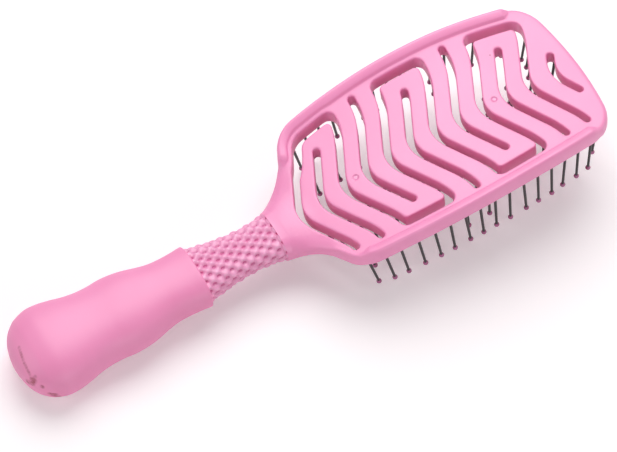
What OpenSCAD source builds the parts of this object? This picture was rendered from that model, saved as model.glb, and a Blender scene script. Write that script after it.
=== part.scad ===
// Detangling brush with an arched, vented head, lying on its handle end and its first pins.
// The head is drawn level, with the crown of its back at the origin, +X to the tip and +Y across.
// The whole brush is then tilted to the way it lies and stood on the floor.

/* [Head] */
// Radius of the back along its length
back_radius = 350; // [250:10:600]
// Radius of the hollow across the back
dish_radius = 210; // [150:10:500]
// Thickness of the vented panel
panel_t = 7; // [4:0.2:8]
// Half of the width of the head where it is widest
head_half_w = 37.2; // [30:0.2:45]
// Place of the widest line, forward of the crown
widest_x = 5.8; // [0:0.2:12]
// Radius of the long sides
side_radius = 320; // [250:10:600]
// Reach of the tip, forward of the crown
tip_x = 66.5; // [62:0.1:80]
// Radius of the tip
tip_radius = 125; // [110:1:200]
// Radius of the two corners at the tip
corner_radius = 14; // [10:0.5:18]
// Radius of the two shoulders on the neck side
shoulder_radius = 14; // [11:0.5:15]
// Place of the shoulders, behind the crown
shoulder_x = 37.5; // [36:0.5:38.5]
// Radius of the hollow curves between shoulders and neck
neck_curve_radius = 30; // [29:0.5:32]
// Place of the hollow curves, behind the crown
neck_curve_x = 77.25; // [76.75:0.25:77.5]
// Place of the end of the neck, behind the crown
neck_x = 66; // [64:0.5:68]
// Place where the neck takes over from the panel, behind the crown
panel_back = 57.6; // [57:0.1:60]
// Place where the neck has thinned down to the panel, behind the crown
root_front = 50; // [48:0.5:52]

/* [Rails] */
// Height of the rails above the panel
rail_h = 1.8; // [1:0.1:3]
// Width of the rails
rail_w = 4.8; // [3.5:0.1:5.4]
// Place of the neck end of the rails, behind the crown
rail_back = 51.5; // [46:0.5:54]
// Place of the tip end of the rails, forward of the crown
rail_front = 55.5; // [50:0.5:57]

/* [Slots] */
// Width of the slots
slot_w = 2.8; // [2:0.1:3.6]
// Width of the cross gaps at the free ends of the fingers
gap_w = 3.3; // [2.4:0.1:4]
// Place of the first slot, behind the crown
slot_start = 55.3; // [54:0.1:56]
// Distance from the first slot to the second
slot_pitch = 9.67; // [9.4:0.01:9.9]
// Growth of the distance from one slot to the next
slot_growth = 0.08; // [0:0.01:0.1]
// Place of the points of the chevrons across the head
point_y = -1.3; // [-4:0.1:4]
// Half of the length of the rounded point of a chevron
point_round = 5.8; // [4:0.1:8]
// Slope of the arms of a chevron
arm_slope = 0.5; // [0.3:0.01:0.6]
// Distance from the point at which an arm begins to bend back
bend_start = 17.5; // [14:0.5:20]
// Distance from the point at which an arm has bent back
bend_end = 27.5; // [24:0.5:30]
// Slope of the ends of the arms
end_slope = 0.1; // [0:0.01:0.2]
// Material left between the edge and the long slot ends
long_inset = 6.4; // [6:0.1:8]
// Material left between the edge and the neck slot's near end
first_inset = 3.6; // [3:0.1:5]
// Material left between the edge and the cross gaps
gap_inset = 6.2; // [5.6:0.1:7]
// Width of the bar at the free end of a finger
bar_w = 5.2; // [4:0.1:6]
// Half of the length of the short slot at the tip
tip_slot_half = 10.7; // [8:0.1:14]
// Extra distance of the short slot towards the tip
tip_slot_shift = 0.8; // [0:0.1:1.6]

/* [Pins] */
// Diameter of the pins
pin_d = 1.15; // [0.8:0.05:1.6]
// Depth of the pin sockets in the panel
socket_depth = 3.6; // [2.5:0.1:4.5]
// Clearance between a pin and its socket, on the radius
socket_clearance = 0.02; // [0.01:0.01:0.05]
// Diameter of the ball tips
ball_d = 2.1; // [1.6:0.1:3]
// Depth of the ball centres below the crown of the back
ball_depth = 24.6; // [20:0.2:30]
// Height of the seat of the pin above the ball centre
ball_seat = 0.7; // [0.3:0.05:0.8]
// Number of pins along each long side
rim_pins = 17; // [12:1:18]
// Distance of the outer pins from the edge
rim_inset = 2.7; // [2.2:0.1:3.8]
// Place of the first outer pin, behind the crown
rim_row_back = 43.4; // [40:0.1:46]
// Distance of the tip pins from the edge
tip_inset = 4.6; // [3.5:0.1:5]
// Number of pins on each side of the middle of the tip row
tip_side_pins = 3; // [2:1:3]

/* [Handle] */
// Height of the handle line at the neck, below the crown
neck_drop = 10.5; // [9:0.1:13]
// Rise of the handle line towards its end, in degrees
handle_angle = 5.1; // [0:0.1:10]
// Length of the textured band
band_l = 33.4; // [25:0.2:45]
// Half of the width of the band at its neck end
band_half_w = 10.6; // [10:0.1:11.4]
// Half of the height of the band at its neck end
band_half_t = 6.3; // [6.1:0.1:6.5]
// Length of the grip
grip_l = 76.9; // [60:0.5:100]
// Half of the width of the grip at its bulb
grip_half_w = 18.5; // [16:0.1:22]
// Half of the height of the grip at its bulb
grip_half_t = 12.1; // [11.2:0.1:14]
// Diameter of the core that runs through the band into the grip
core_d = 9.6; // [8:0.1:10]
// Depth of the core in the grip
core_reach = 62; // [40:1:64]
// Clearance between the core and what it carries, on the radius
core_clearance = 0.03; // [0.01:0.01:0.08]
// Gap between the faces of the neck, the band and the grip
face_gap = 0.05; // [0.02:0.01:0.1]

/* [Resting] */
// Angle at which the head noses up where the brush lies
lie_angle = 7.4; // [5:0.1:10]

/* [Hidden] */

// Facet counts: true rounds, outline arcs, rings round a loft
round_fn = 48;
arc_steps = 8;
slot_steps = 18;
gap_steps = 3;
end_steps = 8;
loft_sides = 36;

// Overrun of every cutter past what it cuts
overrun = 1;

// Circles of the outline: side, tip, corner, shoulder and hollow neck curve
side_c = [widest_x, head_half_w - side_radius];
tip_c = [tip_x - tip_radius, 0];
corner_c = circle_meet(side_c, side_radius - corner_radius, tip_c, tip_radius - corner_radius);
shoulder_c = [-shoulder_x, side_c.y
    + sqrt(pow(side_radius - shoulder_radius, 2) - pow(shoulder_x + side_c.x, 2))];
neck_c = [-neck_curve_x, shoulder_c.y
    + sqrt(pow(shoulder_radius + neck_curve_radius, 2) - pow(neck_curve_x - shoulder_x, 2))];

// Half of the width that the outline has at the end of the neck
neck_half_w = neck_c.y - sqrt(pow(neck_curve_radius, 2) - pow(neck_curve_x - neck_x, 2));

// Slots are counted from the neck, and a rib with its row of pins lies between each two of them
slot_count = 12;
last_slot = slot_count - 1;
rib_count = last_slot;

// Where the end of a rib is free, its row stops this far from the edge
free_inset = gap_inset + gap_w + bar_w - slot_w / 2;

// Last outer pin, as a share of the way round the corner at the tip
rim_front_share = 0.8935;
rim_row_front = corner_c.x + rim_front_share * (corner_radius - rim_inset);

// Distances from pin to pin across the head, which follow its width
rib_step_share = 0.172;
rib_pin_step = rib_step_share * head_half_w;
tip_gap_share = 0.566;
tip_pin_step = edge_y(rim_row_front, rim_inset) / (tip_side_pins + tip_gap_share);

// Most pins that a rib can have on each side of the middle
rib_side_pins = 5;

// Clearance between the balls of the last rib and those of the tip row
ball_gap = 0.5;
rib_tip_radius = tip_radius - tip_inset - ball_d - ball_gap;

// Spread of places along a loft
band_rings = 9;
grip_rings = 30;
root_rings = 9;

// Squareness of the sections: 2 is an ellipse
band_square = 2.5;
grip_square = 2.35;
root_square = 6;

// Neck root: half width follows the outline, top and bottom run from the neck to the panel
root_top_sink = 0.25;
root_side_sink = 0.35;
neck_half_t = 6.6;

// Places along the band and half sizes there, as shares of its length and of its neck end
band_place_shares = [0, 0.12, 0.29, 0.44, 0.58, 0.73, 0.87, 1];
band_width_shares = [1, 0.93, 0.86, 0.855, 0.885, 0.935, 1.015, 1.09];
band_height_shares = [1, 0.98, 0.97, 0.985, 1.02, 1.08, 1.17, 1.26];

// Places along the grip and half sizes there, as shares of its length and of its bulb
grip_place_shares = [0, 0.025, 0.07, 0.135, 0.2, 0.26, 0.325, 0.385, 0.45, 0.51, 0.575, 0.64, 0.705,
    0.765, 0.83, 0.89, 0.915, 0.952, 0.979, 0.994, 1];
grip_width_shares = [0.7, 0.705, 0.685, 0.67, 0.678, 0.73, 0.805, 0.848, 0.86, 0.838, 0.84, 0.878,
    0.945, 0.992, 0.995, 0.915, 0.85, 0.7, 0.5, 0.27, 0.1];
grip_height_shares = [0.72, 0.725, 0.72, 0.735, 0.76, 0.8, 0.845, 0.875, 0.885, 0.88, 0.885, 0.915,
    0.96, 0.99, 0.99, 0.905, 0.84, 0.68, 0.48, 0.26, 0.1];

// Rotation of the brush to the way it lies, and the lowest and end points that place it
balls_low = min([for (r = [0 : rib_count - 1], p = rib_row(r)) lying_z(ball_at(p)) - ball_d / 2]);
grip_low = min([for (i = [0 : len(grip_place_shares) - 1]) lying_z(grip_under(i))]);
floor_z = min(balls_low, grip_low);
tip_end_x = lying_x([tip_x, 0, -pow(tip_x, 2) / (2 * back_radius) - panel_t]);
grip_end_x = lying_x(handle_point(band_l + grip_l, 0));
middle_x = (tip_end_x + grip_end_x) / 2;

// Crossing of two circles on the +Y side
function circle_meet(a, ra, b, rb) =
    let (v = b - a, d = norm(v), u = v / d)
    let (m = (d * d + ra * ra - rb * rb) / (2 * d), h = sqrt(ra * ra - m * m))
    let (n = [-u.y, u.x], p = a + u * m + n * h, q = a + u * m - n * h)
    p.y > q.y ? p : q;

// Points of an arc about a centre
function arc(c, r, from, to) =
    [for (i = [0 : arc_steps]) let (a = from + (to - from) * i / arc_steps) c + r * [cos(a), sin(a)]];

function angle_of(v) = atan2(v.y, v.x);

// Half outline on the +Y side, drawn in from the edge, from the tip to the end of the neck
function half_outline(inset) = concat(
    arc(tip_c, tip_radius - inset, 0, angle_of(corner_c - tip_c)),
    arc(corner_c, corner_radius - inset, angle_of(corner_c - tip_c), angle_of(corner_c - side_c)),
    arc(side_c, side_radius - inset, angle_of(corner_c - side_c), angle_of(shoulder_c - side_c)),
    arc(shoulder_c, shoulder_radius - inset, angle_of(shoulder_c - side_c), angle_of(neck_c - shoulder_c)),
    arc(neck_c, neck_curve_radius + inset, angle_of(shoulder_c - neck_c),
        neck_end_angle(inset)));
function neck_end_angle(inset) = asin((neck_curve_x - neck_x) / (neck_curve_radius + inset)) - 90;

function flip(points) = [for (i = [len(points) - 1 : -1 : 0]) [points[i].x, -points[i].y]];

// Half width of the head at a place along it, drawn in from the edge
function edge_y(x, inset) =
    x > tangent_x(side_c, corner_c, corner_radius - inset)
        ? corner_c.y + sqrt(max(pow(corner_radius - inset, 2) - pow(x - corner_c.x, 2), 0))
    : x < tangent_x(neck_c, shoulder_c, inset - shoulder_radius)
        ? neck_c.y - sqrt(pow(neck_curve_radius + inset, 2) - pow(x - neck_c.x, 2))
    : x < tangent_x(side_c, shoulder_c, shoulder_radius - inset)
        ? shoulder_c.y + sqrt(pow(shoulder_radius - inset, 2) - pow(x - shoulder_c.x, 2))
    : side_c.y + sqrt(pow(side_radius - inset, 2) - pow(x - side_c.x, 2));

// Place where the circle about c meets the one about its neighbour
function tangent_x(neighbour, c, r) = c.x + r * (c.x - neighbour.x) / norm(c - neighbour);

// Place of a slot along the back, and the set-back of a chevron at a distance from its point
function slot_x(k) = -slot_start + slot_pitch * k + slot_growth * k * (k - 1) / 2
    + (k == last_slot ? tip_slot_shift : 0);
function arm_back(d) =
    d < point_round ? arm_slope * d * d / (2 * point_round)
    : d < bend_start ? arm_slope * (d - point_round / 2)
    : d < bend_end ? arm_back_at_bend() + arm_slope * (d - bend_start)
        - (arm_slope - end_slope) * pow(d - bend_start, 2) / (2 * (bend_end - bend_start))
    : arm_back_at_bend() + (arm_slope + end_slope) / 2 * (bend_end - bend_start)
        + end_slope * (d - bend_end);
function arm_back_at_bend() = arm_slope * (bend_start - point_round / 2);
function chevron(k, y) = [slot_x(k) + arm_back(abs(y - point_y)), y];

// Reach of a slot to a side: 0 and 1 stop near the edge, 2 opens into a cross gap, 3 and 4 are short
function far_kind(k) = k == last_slot ? 4 : k % 4 == 1 ? 3 : k % 4 == 3 ? 1 : 2;
function near_kind(k) = k == 0 ? 0 : k == last_slot ? 4 : k % 4 == 3 ? 3
    : k % 4 == 1 || k == last_slot - 1 ? 1 : 2;
function slot_reach(kind, x) =
    kind == 1 ? edge_y(x, long_inset) - slot_w / 2
    : kind == 0 ? edge_y(x, first_inset) - slot_w / 2
    : kind == 2 ? edge_y(x, gap_inset) - gap_w / 2
    : kind == 3 ? edge_y(x, gap_inset) - gap_w - bar_w - slot_w / 2
    : tip_slot_half - slot_w / 2;
function slot_middle(k) = k == last_slot ? 2 * point_y : 0;
function slot_far(k) = slot_middle(k) + slot_reach(far_kind(k), chevron(k, bend_end).x);
function slot_near(k) = slot_middle(k) - slot_reach(near_kind(k), chevron(k, -bend_end).x);

function slot_points(k) =
    [for (i = [0 : slot_steps]) chevron(k, slot_near(k) + (slot_far(k) - slot_near(k)) * i / slot_steps)];

// Outline of a band of a given width along a line of points, with round ends
function band_outline(path, w) = let (n = len(path) - 1)
    let (turns = [for (i = [0 : n]) angle_of(path[min(i + 1, n)] - path[max(i - 1, 0)])])
    concat(
        [for (i = [0 : n]) path[i] + turned(turns[i] + 90, w / 2)],
        [for (i = [1 : end_steps - 1]) path[n] + turned(turns[n] + 90 - 180 * i / end_steps, w / 2)],
        [for (i = [n : -1 : 0]) path[i] + turned(turns[i] - 90, w / 2)],
        [for (i = [1 : end_steps - 1]) path[0] + turned(turns[0] - 90 - 180 * i / end_steps, w / 2)]);
function turned(a, r) = r * [cos(a), sin(a)];

// Angle on the back for a distance along it, and the height of the hollow panel at a place across it
function back_angle(x) = x / back_radius * 180 / PI;
function dish(y) = dish_radius - sqrt(dish_radius * dish_radius - y * y);

// Rows of pins, as places along the back and across it
function rim_row(side) = [for (i = [0 : rim_pins - 1])
    let (x = -rim_row_back + (rim_row_front + rim_row_back) * i / (rim_pins - 1))
    [x, side * edge_y(x, rim_inset)]];
function rib_x(r, y) = (chevron(r, y).x + chevron(r + 1, y).x) / 2;
function rib_is_free(r, side) = r < rib_count - 1 && (side > 0 ? r % 4 < 2 : r % 4 > 1);
function rib_limit(r, side) =
    let (x = rib_x(r, side * bend_end))
    edge_y(x, rib_is_free(r, side) ? free_inset : long_inset + slot_w / 2);
function rib_row(r) = [for (i = [-rib_side_pins : rib_side_pins - 1])
    let (y = rib_pin_step * (i + 0.5), p = [rib_x(r, y), y])
    if (abs(y) < rib_limit(r, sign(y)) && norm(p - tip_c) < rib_tip_radius) p];
function tip_row() = [for (i = [-tip_side_pins : tip_side_pins])
    let (y = tip_pin_step * i, arch_stretch = pow(tip_x, 3) / (6 * pow(back_radius, 2)))
    [tip_c.x + sqrt(pow(tip_radius - tip_inset, 2) - y * y) + arch_stretch, y]];

// Place of a ball centre in the head's own frame
function ball_at(p) = let (a = back_angle(p.x), r = back_radius - ball_depth)
    [r * sin(a), p.y, r * cos(a) - back_radius];

// Points of the handle, by distance from the neck and height above the handle line
function handle_point(s, h) = [-neck_x - s * cos(handle_angle) + h * sin(handle_angle), 0,
    -neck_drop + s * sin(handle_angle) + h * cos(handle_angle)];
function grip_under(i) = handle_point(band_l + grip_place_shares[i] * grip_l,
    -grip_height_shares[i] * grip_half_t);

// Heights and places once the brush lies on the floor
function lying_z(p) = p.x * sin(lie_angle) + p.z * cos(lie_angle);
function lying_x(p) = p.x * cos(lie_angle) - p.z * sin(lie_angle);

// Smooth value between listed ones, at a place from 0 to 1
function smooth_at(places, values, t) =
    let (n = len(places) - 1, i = max([for (k = [0 : n - 1]) if (t >= places[k] || k == 0) k]))
    let (a = places[i], b = places[i + 1], u = (t - a) / (b - a))
    let (ma = slope_at(places, values, i), mb = slope_at(places, values, i + 1))
    values[i] * (2 * u * u * u - 3 * u * u + 1) + values[i + 1] * (3 * u * u - 2 * u * u * u)
        + (b - a) * (ma * (u * u * u - 2 * u * u + u) + mb * (u * u * u - u * u));
function slope_at(places, values, i) =
    let (n = len(places) - 1, a = max(i - 1, 0), b = min(i + 1, n))
    (values[b] - values[a]) / (places[b] - places[a]);

// Ring of a loft: rounded section at a place x, from z low to z high
function ring(x, half_w, low, high, square) = [for (i = [0 : loft_sides - 1])
    let (a = 360 * i / loft_sides, c = cos(a), s = sin(a))
    [x, half_w * sign(c) * pow(abs(c), 2 / square),
        (high + low) / 2 + (high - low) / 2 * sign(s) * pow(abs(s), 2 / square)]];

// Skin between rings that run towards +X
module loft(rings) {
    n = len(rings);
    m = loft_sides;
    polyhedron(
        points = [for (r = rings, p = r) p],
        faces = concat(
            [[for (j = [0 : m - 1]) j]],
            [[for (j = [m - 1 : -1 : 0]) (n - 1) * m + j]],
            [for (i = [0 : n - 2], j = [0 : m - 1])
                [i * m + j, (i + 1) * m + j, (i + 1) * m + (j + 1) % m]],
            [for (i = [0 : n - 2], j = [0 : m - 1])
                [i * m + j, (i + 1) * m + (j + 1) % m, i * m + (j + 1) % m]]),
        convexity = 4);
}

// Places a piece drawn in the head's own frame where the brush lies
module lying() {
    translate([-middle_x, 0, -floor_z]) rotate([0, -lie_angle, 0]) children();
}

// Places a piece drawn along the handle line, with the neck at zero and the end towards -X
module on_handle() {
    translate([-neck_x, 0, -neck_drop]) rotate([0, handle_angle, 0]) children();
}

// Places a piece on the back, upright to it
module on_back(p) {
    translate([0, 0, -back_radius]) rotate([0, back_angle(p.x), 0]) translate([0, p.y, back_radius])
        children();
}

// Arched and hollowed sheet between two heights above the panel
module arched_sheet(low, high) {
    half_turn = back_angle(tip_x + overrun) + overrun;
    translate([0, 0, -back_radius]) rotate([90, 0, 0]) rotate([0, 0, 90 - half_turn])
        rotate_extrude(angle = 2 * half_turn, $fn = 4 * round_fn) intersection() {
            translate([back_radius + dish_radius, 0]) difference() {
                circle(r = dish_radius - low, $fn = 4 * round_fn);
                circle(r = dish_radius - high, $fn = 4 * round_fn);
            }
            translate([back_radius - dish_radius / 4, -head_half_w - overrun])
                square([dish_radius / 2, 2 * (head_half_w + overrun)]);
        }
}

// Upright prism of the plan below, tall enough for the whole head
module upright(depth) {
    translate([0, 0, -depth]) linear_extrude(height = 2 * depth) children();
}

module head_plan(inset) {
    polygon(concat(half_outline(inset), flip(half_outline(inset))));
}

module panel_plan() {
    intersection() {
        head_plan(0);
        translate([-panel_back, -head_half_w - overrun])
            square([panel_back + tip_x + overrun, 2 * (head_half_w + overrun)]);
    }
}

module slot_plan(k) {
    polygon(band_outline(slot_points(k), slot_w));
}

// Cross gap that joins two slots at a side, parallel to the edge
module gap_plan(k, side) {
    reach = side > 0 ? [slot_far(k), slot_far(k + 2)] : [slot_near(k), slot_near(k + 2)];
    from_x = chevron(k, reach[0]).x;
    to_x = chevron(k + 2, reach[1]).x;
    polygon(band_outline([for (i = [0 : gap_steps]) let (x = from_x + (to_x - from_x) * i / gap_steps)
        [x, side * (edge_y(x, gap_inset) - gap_w / 2)]], gap_w));
}

module vents() {
    for (k = [0 : last_slot])
        slot_plan(k);
    for (k = [0, 4, 8])
        gap_plan(k, 1);
    for (k = [2, 6])
        gap_plan(k, -1);
}

module rails_plan() {
    intersection() {
        difference() {
            head_plan(0);
            head_plan(rail_w);
        }
        translate([-rail_back, -head_half_w - overrun])
            square([rail_front + rail_back, 2 * (head_half_w + overrun)]);
    }
}

// Ring that leans by its height about the handle line
function leaning(points, slope) = [for (p = points) [p.x + slope * (p.z + neck_drop), p.y, p.z]];

// Rounded root that carries the head from the neck; its end face is square to the handle line
module neck_root() {
    loft([for (i = [0 : root_rings])
        let (t = i / root_rings, x = -neck_x + (neck_x - root_front) * t)
        let (w = edge_y(x, root_side_sink * t))
        let (panel_z = -pow(x, 2) / (2 * back_radius))
        let (ease = t * t * (3 - 2 * t))
        let (low = (-neck_drop - neck_half_t) * (1 - ease) + (panel_z - panel_t + root_top_sink) * ease)
        let (high = (-neck_drop + neck_half_t) * (1 - ease) + (panel_z - root_top_sink) * ease)
        let (square = band_square + (root_square - band_square) * t)
        leaning(ring(x, w, low, high, square), tan(handle_angle) * (1 - t))]);
}

module core() {
    on_handle() rotate([0, -90, 0]) translate([0, 0, -core_d / 2])
        cylinder(h = band_l + core_reach + core_d / 2, d = core_d, $fn = round_fn);
}

module sockets(row) {
    for (p = row)
        on_back(p) translate([0, 0, dish(p.y) - panel_t - overrun])
            cylinder(h = socket_depth + overrun, d = pin_d + 2 * socket_clearance, $fn = round_fn / 2);
}

module head_frame() {
    color([0.95, 0.64, 0.80]) lying() difference() {
        union() {
            intersection() {
                arched_sheet(-panel_t, 0);
                upright(back_radius / 4) panel_plan();
            }
            intersection() {
                arched_sheet(-panel_t / 2, rail_h);
                upright(back_radius / 4) rails_plan();
            }
            neck_root();
            core();
        }
        upright(back_radius / 4) vents();
        sockets(rim_row(1));
        sockets(rim_row(-1));
        for (r = [0 : rib_count - 1])
            sockets(rib_row(r));
        sockets(tip_row());
    }
}

// Hole for the core through a sleeve
module core_bore(from, to) {
    on_handle() rotate([0, -90, 0]) translate([0, 0, from])
        cylinder(h = to - from, d = core_d + 2 * core_clearance, $fn = round_fn);
}

module neck_band() {
    color([0.94, 0.60, 0.77]) lying() difference() {
        on_handle() loft([for (i = [0 : band_rings])
            let (t = 1 - i / band_rings, s = face_gap + (band_l - 2 * face_gap) * t)
            let (w = band_half_w * smooth_at(band_place_shares, band_width_shares, t))
            let (h = band_half_t * smooth_at(band_place_shares, band_height_shares, t))
            ring(-s, w, -h, h, band_square)]);
        core_bore(-overrun, band_l + overrun);
    }
}

module grip_sleeve() {
    color([0.93, 0.62, 0.78]) lying() difference() {
        on_handle() loft([for (i = [0 : grip_rings])
            let (t = sin(90 * (1 - i / grip_rings)), s = band_l + grip_l * t)
            let (w = grip_half_w * smooth_at(grip_place_shares, grip_width_shares, t))
            let (h = grip_half_t * smooth_at(grip_place_shares, grip_height_shares, t))
            ring(-s, w, -h, h, grip_square)]);
        core_bore(band_l - overrun, band_l + core_reach);
    }
}

module pins(row) {
    color([0.10, 0.09, 0.10]) lying() for (p = row) {
        root = dish(p.y) - panel_t + socket_depth;
        end = ball_seat - ball_depth;
        on_back(p) translate([0, 0, end]) cylinder(h = root - end, d = pin_d, $fn = round_fn / 2);
    }
}

module balls(row) {
    color([0.72, 0.42, 0.58]) lying() for (p = row)
        on_back(p) translate([0, 0, -ball_depth]) intersection() {
            sphere(d = ball_d, $fn = round_fn);
            translate([-ball_d, -ball_d, -ball_d]) cube([2 * ball_d, 2 * ball_d, ball_d + ball_seat]);
        }
}

head_frame();
neck_band();
grip_sleeve();
pins(rim_row(-1));  // rim_pins_near
balls(rim_row(-1));  // rim_balls_near
pins(rim_row(1));  // rim_pins_far
balls(rim_row(1));  // rim_balls_far
pins(rib_row(0));  // rib_pins_1
balls(rib_row(0));  // rib_balls_1
pins(rib_row(1));  // rib_pins_2
balls(rib_row(1));  // rib_balls_2
pins(rib_row(2));  // rib_pins_3
balls(rib_row(2));  // rib_balls_3
pins(rib_row(3));  // rib_pins_4
balls(rib_row(3));  // rib_balls_4
pins(rib_row(4));  // rib_pins_5
balls(rib_row(4));  // rib_balls_5
pins(rib_row(5));  // rib_pins_6
balls(rib_row(5));  // rib_balls_6
pins(rib_row(6));  // rib_pins_7
balls(rib_row(6));  // rib_balls_7
pins(rib_row(7));  // rib_pins_8
balls(rib_row(7));  // rib_balls_8
pins(rib_row(8));  // rib_pins_9
balls(rib_row(8));  // rib_balls_9
pins(rib_row(9));  // rib_pins_10
balls(rib_row(9));  // rib_balls_10
pins(rib_row(10));  // rib_pins_11
balls(rib_row(10));  // rib_balls_11
pins(tip_row());  // tip_pins
balls(tip_row());  // tip_balls
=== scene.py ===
"""A pink vented detangling brush, lying pins down on a pale table."""
import math
import random

import bmesh
import bpy
from mathutils import Matrix, Vector
from mathutils.kdtree import KDTree


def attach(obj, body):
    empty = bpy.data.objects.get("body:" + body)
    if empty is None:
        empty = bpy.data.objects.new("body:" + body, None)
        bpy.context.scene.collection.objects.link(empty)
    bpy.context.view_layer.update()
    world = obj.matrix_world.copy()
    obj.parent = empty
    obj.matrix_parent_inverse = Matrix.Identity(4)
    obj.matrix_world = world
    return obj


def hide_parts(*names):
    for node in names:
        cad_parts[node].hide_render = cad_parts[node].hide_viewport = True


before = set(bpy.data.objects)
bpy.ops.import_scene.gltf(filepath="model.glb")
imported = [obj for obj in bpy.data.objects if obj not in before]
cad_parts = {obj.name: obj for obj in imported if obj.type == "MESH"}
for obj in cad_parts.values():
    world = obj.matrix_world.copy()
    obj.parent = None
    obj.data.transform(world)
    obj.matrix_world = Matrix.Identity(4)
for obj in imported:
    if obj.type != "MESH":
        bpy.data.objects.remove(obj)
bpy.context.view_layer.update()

# Sizes of the head, in millimetres
# The head is drawn level, with the crown of its back at the origin, +X to the tip and +Y across.
BACK_RADIUS = 350.0  # arch of the back along the brush
DISH_RADIUS = 210.0  # hollow of the back across it
PANEL = 7.0  # thickness of the panel
NECK_THICKNESS = 13.2
NECK_SWELL = 2.32  # rise of the neck's middle line above the line of the back
REST_TILT = math.radians(7.4)  # the brush rests on its bulb and its first pins
CROWN = Vector((53.324, 0.0, 34.784))  # where the crown of the back lies in the shared frame

# Circles of the outline: the long side, the tip, its corners, the shoulders and the curve into the neck
HALF_WIDTH = 37.195
WIDEST = 5.8
SIDE_R = 320.0
TIP = 66.5
TIP_R = 125.0
CORNER_R = 14.0
SHOULDER = 37.5
SHOULDER_R = 14.0
NECK_CURVE = 77.25
NECK_CURVE_R = 30.0
NECK = 66.0
SEAM = 1.35  # the head ends and the band begins this far along the handle

# Rails along both sides, in millimetres
RAIL_WIDTH = 5.0  # with its foot
RAIL_NECK_END = (-50.1, 24.6)
RAIL_TIP_END = (56.2, 30.0)
NECK_SLANT = (0.43, 0.90)  # direction in which a rail grows from its end
TIP_SLANT = (-0.94, 0.34)
TIP_FADE = 3.2  # length over which a rail fades out
NECK_FADE = 5.6
NEAR_RUN_ON = 8.0  # how far a rail runs on towards the neck beyond its end
FAR_RUN_ON = 6.8

# Slots, in millimetres
SLOT = 2.8
FILLET = 0.7  # rounding of the edges of a slot
GAP = 3.3  # opening across the free end of a finger
GAP_INSET = 6.2  # from the head's edge to such an opening
FIRST_GAP_INSET = 5.75  # the same, at the first far one
FIRST_END_INSET = 3.05  # from the head's edge to the first end of the winding slot
LAST_END_INSET = 5.6  # and to its last end
CLOSED_INSET = 6.4  # from the head's edge to the long end of a closed slot
BAR = 5.2  # plastic between a closed slot's short end and the opening beyond it
NEAR_BAR = 5.7  # the same where that opening is on the far side
FIRST_SLOT = -55.3
SLOT_STEP = 9.67
STEP_GROWTH = 0.04
LAST_SLOT = 11  # counted from 0 at the neck
LAST_SHIFT = 0.8
LAST_HALF = 9.3  # half length of the short slot by the tip
LAST_MIDDLE = -2.6

# Course of a slot: a rounded point, straight arms, and ends that bend back; places are from the point
POINT_Y = -1.3
POINT_HALF = 5.8
ARM_END = 17.5
BEND_END = 27.5
ARM_SLOPE = 0.5
END_SLOPE = 0.1

# Handle, in millimetres
NECK_DROP = 10.5
HANDLE_ANGLE = math.radians(5.1)
BAND = 33.4
GRIP = 76.9


def lie_down(p):
    """From the head's level frame in millimetres to the shared frame in metres."""
    x = p[0] * math.cos(REST_TILT) - p[2] * math.sin(REST_TILT)
    z = p[0] * math.sin(REST_TILT) + p[2] * math.cos(REST_TILT)
    return (Vector((x, p[1], z)) + CROWN) / 1000


def along_handle(s, y, h):
    """A point of the handle: s back from the neck, y across, h above the handle's line."""
    x = -NECK - s * math.cos(HANDLE_ANGLE) + h * math.sin(HANDLE_ANGLE)
    z = -NECK_DROP + s * math.sin(HANDLE_ANGLE) + h * math.cos(HANDLE_ANGLE)
    return lie_down((x, y, z))


def ease(t):
    """0 below 0, 1 above 1, and a smooth rise between."""
    t = min(max(t, 0.0), 1.0)
    return t * t * (3 - 2 * t)


def superellipse(a, half_w, half_t, square):
    """A point of a rounded section, at an angle that runs from +Y to up."""
    c = math.cos(a)
    s = math.sin(a)
    return (half_w * math.copysign(abs(c) ** (2 / square), c),
            half_t * math.copysign(abs(s) ** (2 / square), s))


def listed(places, values, t):
    """Smooth value at t between the values listed for some places."""
    n = len(places) - 1
    i = max(k for k in range(n) if t >= places[k] or k == 0)

    def slope(j):
        a, b = max(j - 1, 0), min(j + 1, n)
        return (values[b] - values[a]) / (places[b] - places[a])

    w = places[i + 1] - places[i]
    u = (t - places[i]) / w
    return (values[i] * (2 * u**3 - 3 * u * u + 1) + values[i + 1] * (3 * u * u - 2 * u**3)
            + w * (slope(i) * (u**3 - 2 * u * u + u) + slope(i + 1) * (u**3 - u * u)))


# Materials, with the size of each pattern in millimetres from crest to crest
# The real skin of each is too fine to show, so its grain is drawn as coarse as it needs to be.
COLOUR_DRIFT = 35.7
ORANGE_PEEL = 6.25
SOIL_GRAIN = 1.667
NYLON_GRAIN = 1.111
VINYL_GRAIN = 1.667
MM_PER_METRE = 1000.0  # a noise's scale is its crests per metre


def linear(code):
    """An sRGB hex colour as the linear colour that a shader takes."""
    parts = [int(code[i:i + 2], 16) / 255 for i in (1, 3, 5)]
    return [c / 12.92 if c <= 0.04045 else ((c + 0.055) / 1.055) ** 2.4 for c in parts] + [1.0]


def node(tree, kind, at=(0, 0), links=None, **settings):
    """Adds one node; settings name its properties or sockets (i3 is its fourth), links name its sockets."""
    made = tree.nodes.new(kind)
    made.location = at
    for key, value in settings.items():
        if hasattr(made, key):
            setattr(made, key, value)
        else:
            made.inputs[int(key[1:]) if key[1:].isdigit() else key.replace("_", " ")].default_value = value
    for key, source in (links or {}).items():
        tree.links.new(source, made.inputs[key])
    return made


def new_material(name):
    material = bpy.data.materials.new(name)
    material.use_nodes = True
    tree = material.node_tree
    tree.nodes.clear()
    return material, tree


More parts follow.
